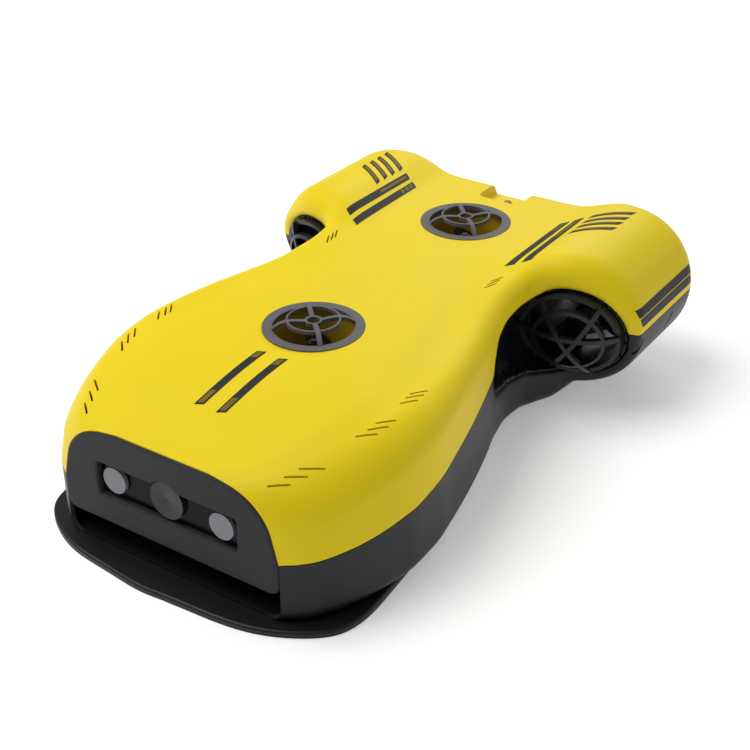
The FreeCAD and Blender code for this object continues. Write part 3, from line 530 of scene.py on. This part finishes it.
for word, low_x, high_x in (("left", -HALF_WIDTH - 2, -50), ("right", 50, HALF_WIDTH + 2)):
    field_piece(f"{word}_duct_liner", liner_field, (low_x, 20, 8), (high_x, POD_TAIL + 3, 112), 1.3,
                "duct_black", f"{word}_thrust_duct", sharp=60)


# ------------------------------------------------------------------ stripes laid on the skin
def on_surface(points, axis, start):
    """Moves points along one axis until they lie on the hull, coming from outside."""
    points = np.array(points, float)
    points[:, axis] = start
    heading = -np.sign(start)
    for _ in range(60):
        points[:, axis] += heading * hull_field(*points.T) * 0.9
    return points


def strip(corners, axis, start, lift, thick=0.5, cell=3.0):
    """A thin slab with four corners, laid over the hull: corner order goes round."""
    a, b, c, d = (np.array(corner, float) for corner in corners)
    along = max(2, int(np.linalg.norm(b - a) / cell) + 1)
    across = max(2, int(np.linalg.norm(d - a) / cell) + 1)
    flat = []
    for u in np.linspace(0, 1, along):
        for v in np.linspace(0, 1, across):
            flat.append((1 - v) * ((1 - u) * a + u * b) + v * ((1 - u) * d + u * c))
    base = on_surface(flat, axis, start)
    outward = np.zeros(3)
    outward[axis] = np.sign(start)
    top, bottom = base + outward * lift, base - outward * thick
    count = along * across
    faces = []
    for i in range(along - 1):
        for j in range(across - 1):
            corner = i * across + j
            quad = (corner, corner + across, corner + across + 1, corner + 1)
            faces += [quad, tuple(index + count for index in reversed(quad))]
    ring = [j for j in range(across)] + [i * across + across - 1 for i in range(1, along)]
    ring += [(along - 1) * across + j for j in range(across - 2, -1, -1)]
    ring += [i * across for i in range(along - 2, 0, -1)]
    for here, there in zip(ring, ring[1:] + ring[:1]):
        faces.append((here, there, there + count, here + count))
    return list(top) + list(bottom), faces


def bar(start, end, width, slant, axis=Z, level=130.0, lift=0.25):
    """A stripe between two mid points; its ends are cut along the slant direction."""
    start, end = np.array(start, float), np.array(end, float)
    run = (end - start) / np.linalg.norm(end - start)
    slant = np.array(slant, float)
    half = slant / abs(run[0] * slant[1] - run[1] * slant[0]) * width / 2
    flat = [start - half, end - half, end + half, start + half]
    corners = [(x, y, 0) for x, y in flat] if axis == Z else [(0, x, y) for x, y in flat]
    return strip(corners, axis, level, lift)


def mirrored_bars(specs, lift):
    """The bars on the right side and their mirror images on the left."""
    parts = []
    for start, end, width, slant in specs:
        for side in (1, -1):
            parts.append(bar((side * start[0], start[1]), (side * end[0], end[1]), width,
                             (side * slant[0], slant[1]), lift=lift))
    return parts


# Bars as (start, end, width, slant) on the plane of the deck; DARK and GOLD say how high they stand.
DARK, GOLD = 0.25, 0.4
NOSE_SLANT, ACROSS, SHORT_SLANT = (1, 0.45), (1.0, 0.62), (0.25, 1)
nose_specs = [((x, -97.5), (x, -156), 5.4, NOSE_SLANT) for x in (-8, 8)]
nose_gold = [((x, y), (x, y + run), 3.2, NOSE_SLANT)
             for x in (-8, 8) for y, run in ((-154.5, 12), (-105.5, 6.5))]
deck_specs = [((71.7, 84.6), (71.4, 162.9), 5.6, ACROSS), ((62.2, 79), (62.7, 158), 5.6, ACROSS)]
short_specs = [(start, end, 4.2, SHORT_SLANT) for start, end in (
    ((78.8, 134), (103.5, 150.4)), ((79.1, 144.6), (103.4, 160.7)),
    ((78.8, 154.4), (103.5, 170.7)), ((78.7, 164.7), (103.7, 181.1)))]
deck_gold = [((71.5, 126), (71.4, 160.4), 2.0, ACROSS)]
deck_gold += [((62.6, y), (62.6, y + 3.4), 3.6, ACROSS) for y in (140.5, 146.0, 151.5)]
short_gold = [((start[0] + 2.2, start[1] + 1.4), (end[0] - 2.2, end[1] - 1.4), 1.9, slant)
              for start, end, _, slant in short_specs]


def stripes(name, parts, slot, *nodes):
    """Several bars as one piece, shown in place of the nodes."""
    piece = add_piece(name, raw_mesh(name, *joined(parts)), slot)
    if nodes:
        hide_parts(*nodes)
    return piece


stripes("nose_stripe_bands", [bar(*spec, lift=DARK) for spec in nose_specs], "stripe_dark", "nose_stripes")
stripes("deck_stripe_bands", mirrored_bars(deck_specs + short_specs, DARK), "stripe_dark", "deck_stripes")
stripes("stripe_gold_insets", [bar(*spec, lift=GOLD) for spec in nose_gold]
        + mirrored_bars(deck_gold + short_gold, GOLD), "stripe_gold")
SIDE_BAND_HEIGHTS = (81.0, 74.0)
side_bands = []
for side in (-1, 1):
    for height in SIDE_BAND_HEIGHTS:
        below = SIDE_BAND_HEIGHTS[0] - height
        side_bands.append(bar((106.5 + below * 0.4, height), (193 - below * 0.2, height), 6.0, (-0.35, 1),
                              axis=X, level=side * 150.0, lift=DARK))
stripes("side_stripe_bands", side_bands, "stripe_dark", "side_stripes")

# ------------------------------------------------------------------ finishes of the CAD nodes
for entry in frame["record"]["subparts"]:
    dress(frame["nodes"][entry["node"]], entry["material_slot"])
# The lift ducts get the darkened yellow: painted shade on their inner walls.
for node in ("front_lift_duct", "rear_lift_duct"):
    dress(frame["nodes"][node], "duct_yellow_painted_shade")
dress(frame["nodes"]["notch_screw"], "screw_bronze")
for node in ("front_lift_propeller_nut", "rear_lift_propeller_nut", "front_lift_shaft", "rear_lift_shaft"):
    dress(frame["nodes"][node], "nut_dark")

# ------------------------------------------------------------------ studio
FLOOR_HALF = 9000
corners = [(x * FLOOR_HALF, y * FLOOR_HALF, 0) for x, y in ((-1, -1), (1, -1), (1, 1), (-1, 1))]
floor = bpy.data.objects.new("studio_floor", raw_mesh("studio_floor", corners, [(0, 1, 2, 3)]))
bpy.context.scene.collection.objects.link(floor)
paper = surface("studio_paper", (0.93, 0.93, 0.93), 0.9, grain=0.0, bump=0.0)
glow = paper.node_tree.nodes["Principled BSDF"].inputs
glow["Emission Color"].default_value = (1, 1, 1, 1)
glow["Emission Strength"].default_value = 0.30
floor.data.materials.append(paper)

world = bpy.data.worlds.new("studio_air")
world.use_nodes = True
air = world.node_tree.nodes["Background"].inputs
air["Color"].default_value = (1.0, 1.0, 1.0, 1)
air["Strength"].default_value = 0.25
bpy.context.scene.world = world


def softbox(name, place, target, width, height, power):
    """A rectangular light that looks at its target."""
    light = bpy.data.lights.new(name, "AREA")
    light.shape, light.size, light.size_y, light.energy = "RECTANGLE", width, height, power
    holder = bpy.data.objects.new(name, light)
    holder.location = place
    holder.rotation_euler = (Vector(target) - Vector(place)).to_track_quat("-Z", "Y").to_euler()
    bpy.context.scene.collection.objects.link(holder)


softbox("key_light", (-0.65, -0.35, 1.45), (0, 0, 0.05), 1.2, 1.2, 20.5)
softbox("back_light", (-0.3, 1.4, 0.9), (0, 0.1, 0.05), 1.2, 0.8, 6)
softbox("side_light", (1.2, 1.5, 0.9), (0.1, 0.1, 0.08), 0.8, 0.8, 4)

bpy.context.scene.view_settings.view_transform = "Standard"

camera = bpy.data.objects.new("camera", bpy.data.cameras.new("camera"))
camera.location = (0.44529, -0.65214, 0.50194)
camera.rotation_euler = (math.radians(90 - 30.322), 0, math.radians(33.849))
camera.data.lens, camera.data.sensor_width = 65.83, 36
camera.data.clip_start, camera.data.clip_end = 0.01, 50
bpy.context.scene.collection.objects.link(camera)
bpy.context.scene.camera = camera
